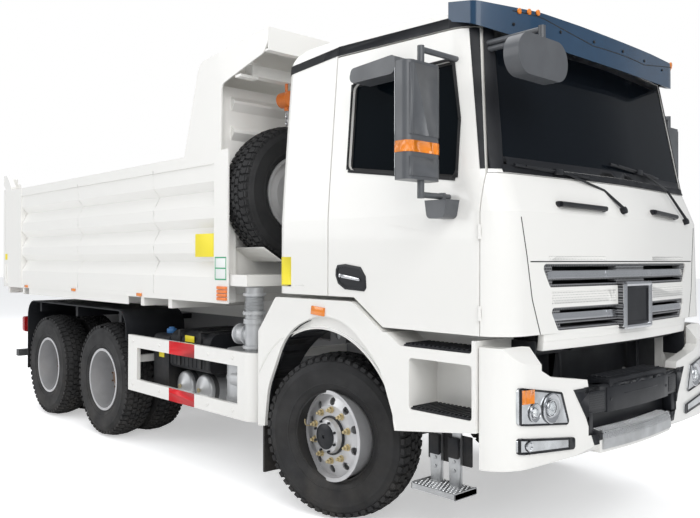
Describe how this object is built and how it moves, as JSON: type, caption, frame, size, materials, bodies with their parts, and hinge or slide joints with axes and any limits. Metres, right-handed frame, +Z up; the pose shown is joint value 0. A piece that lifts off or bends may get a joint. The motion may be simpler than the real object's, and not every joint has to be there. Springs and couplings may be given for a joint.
{
  "type": "dump truck",
  "caption": "Tandem-axle dump truck with a tilt cab, tipping high-sided bed, top-hung tailgate, front hoist and a spare wheel behind the cab.",
  "frame": {"origin": "on the ground, below the middle of the truck's overall box", "axes": "+X forward, +Y to the driver's left, +Z up"},
  "size_m": [7.55, 3.2, 3.3608],
  "materials": {
    "white_paint": "gloss paint",
    "visor_blue": "tinted, half gloss",
    "black_plastic": "satin",
    "chassis_paint": "satin paint",
    "rim_silver": "silver paint",
    "tyre": "matt",
    "glass": "clear, light tint",
    "clear_lamp": "clear lens over a bright bowl",
    "red_lamp": "tinted lens",
    "silver_tank": "satin",
    "orange_paint": "paint",
    "seat_fabric": "woven, matt",
    "step_metal": "chequer plate",
    "cast_axle": "painted casting"
  },
  "bodies": {
    "chassis": {"chassis_frame": "chassis_paint", "front_axle": "cast_axle", "rear_axles": "cast_axle", "suspension": "chassis_paint", "powertrain": "cast_axle", "bumper": "white_paint", "bumper_grille": "black_plastic", "headlamps": "clear_lamp", "step_plate": "step_metal", "fenders": "white_paint", "steps": "step_metal", "side_guards": "white_paint", "side_boxes": "black_plastic", "fuel_tank": "silver_tank", "air_tanks": "silver_tank", "exhaust": "silver_tank", "tandem_fenders": "black_plastic", "tail_bar": "chassis_paint", "rear_lamps": "red_lamp"},
    "cab": {"cab_shell": "white_paint", "front_panel": "white_paint", "grille": "black_plastic", "windscreen": "glass", "visor": "visor_blue", "cab_interior": "seat_fabric", "front_mirror": "black_plastic"},
    "door_right": {"door_right": "white_paint", "door_glass_right": "glass", "mirrors_right": "black_plastic"},
    "door_left": {"door_left": "white_paint", "door_glass_left": "glass", "mirrors_left": "black_plastic"},
    "steer_left": {"knuckle_left": "cast_axle"},
    "steer_right": {"knuckle_right": "cast_axle"},
    "wheel_front_left": {"rim_front_left": "rim_silver", "tyre_front_left": "tyre"},
    "wheel_front_right": {"rim_front_right": "rim_silver", "tyre_front_right": "tyre"},
    "wheels_middle_left": {"rims_middle_left": "rim_silver", "tyres_middle_left": "tyre"},
    "wheels_middle_right": {"rims_middle_right": "rim_silver", "tyres_middle_right": "tyre"},
    "wheels_rear_left": {"rims_rear_left": "rim_silver", "tyres_rear_left": "tyre"},
    "wheels_rear_right": {"rims_rear_right": "rim_silver", "tyres_rear_right": "tyre"},
    "bed": {"bed": "white_paint", "canopy": "white_paint", "bed_fittings": "white_paint", "spare_tyre": "tyre", "spare_rim": "rim_silver", "chain_hoist": "orange_paint"},
    "tailgate": {"tailgate": "white_paint"},
    "hoist_barrel": {"hoist_barrel": "silver_tank"},
    "hoist_stage_1": {"hoist_stage_1": "silver_tank"},
    "hoist_stage_2": {"hoist_stage_2": "silver_tank"},
    "hoist_rod": {"hoist_rod": "silver_tank"}
  },
  "joints": [
    {"name": "bed_tip", "type": "hinge", "parent": "chassis", "child": "bed", "pos_m": [-3.015, 0, 1.11], "axis": [0, -1, 0], "range_deg": [0, 45]},
    {"name": "tailgate_swing", "type": "hinge", "parent": "bed", "child": "tailgate", "pos_m": [-3.743, 0, 2.66], "axis": [0, 1, 0], "range_deg": [0, 70]},
    {"name": "hoist_lean", "type": "hinge", "parent": "chassis", "child": "hoist_barrel", "pos_m": [1.485, 0, 1.1], "axis": [0, -1, 0], "range_deg": [0, 29]},
    {"name": "hoist_slide_1", "type": "slide", "parent": "hoist_barrel", "child": "hoist_stage_1", "axis": [0, 0, 1], "range_m": [0, 1.13]},
    {"name": "hoist_slide_2", "type": "slide", "parent": "hoist_stage_1", "child": "hoist_stage_2", "axis": [0, 0, 1], "range_m": [0, 1.13]},
    {"name": "hoist_slide_3", "type": "slide", "parent": "hoist_stage_2", "child": "hoist_rod", "axis": [0, 0, 1], "range_m": [0, 1.13]},
    {"name": "cab_tilt", "type": "hinge", "parent": "chassis", "child": "cab", "pos_m": [3.515, 0, 0.85], "axis": [0, 1, 0], "range_deg": [0, 50]},
    {"name": "door_right_swing", "type": "hinge", "parent": "cab", "child": "door_right", "pos_m": [3.4725, -1.24, 1.9], "axis": [0, 0, 1], "range_deg": [0, 70]},
    {"name": "door_left_swing", "type": "hinge", "parent": "cab", "child": "door_left", "pos_m": [3.4725, 1.24, 1.9], "axis": [0, 0, -1], "range_deg": [0, 70]},
    {"name": "steer_left_turn", "type": "hinge", "parent": "chassis", "child": "steer_left", "pos_m": [2.185, 0.88, 0.542], "axis": [0, 0, 1], "range_deg": [-35, 35]},
    {"name": "steer_right_turn", "type": "hinge", "parent": "chassis", "child": "steer_right", "pos_m": [2.185, -0.88, 0.542], "axis": [0, 0, 1], "range_deg": [-35, 35]},
    {"name": "wheel_front_left_spin", "type": "hinge", "parent": "steer_left", "child": "wheel_front_left", "pos_m": [2.185, 1.027, 0.542], "axis": [0, 1, 0], "continuous": true},
    {"name": "wheel_front_right_spin", "type": "hinge", "parent": "steer_right", "child": "wheel_front_right", "pos_m": [2.185, -1.027, 0.542], "axis": [0, 1, 0], "continuous": true},
    {"name": "wheels_middle_left_spin", "type": "hinge", "parent": "chassis", "child": "wheels_middle_left", "pos_m": [-1.015, 0.93, 0.542], "axis": [0, 1, 0], "continuous": true},
    {"name": "wheels_middle_right_spin", "type": "hinge", "parent": "chassis", "child": "wheels_middle_right", "pos_m": [-1.015, -0.93, 0.542], "axis": [0, 1, 0], "continuous": true},
    {"name": "wheels_rear_left_spin", "type": "hinge", "parent": "chassis", "child": "wheels_rear_left", "pos_m": [-2.365, 0.93, 0.542], "axis": [0, 1, 0], "continuous": true},
    {"name": "wheels_rear_right_spin", "type": "hinge", "parent": "chassis", "child": "wheels_rear_right", "pos_m": [-2.365, -0.93, 0.542], "axis": [0, 1, 0], "continuous": true}
  ],
  "couplings": [
    {"joint": "hoist_lean", "follows": "bed_tip", "ratio": 0.6258},
    {"joint": "hoist_slide_1", "follows": "bed_tip", "m_per_rad": 1.4324},
    {"joint": "hoist_slide_2", "follows": "bed_tip", "m_per_rad": 1.4324},
    {"joint": "hoist_slide_3", "follows": "bed_tip", "m_per_rad": 1.4324},
    {"joint": "steer_right_turn", "follows": "steer_left_turn", "ratio": 1}
  ]
}
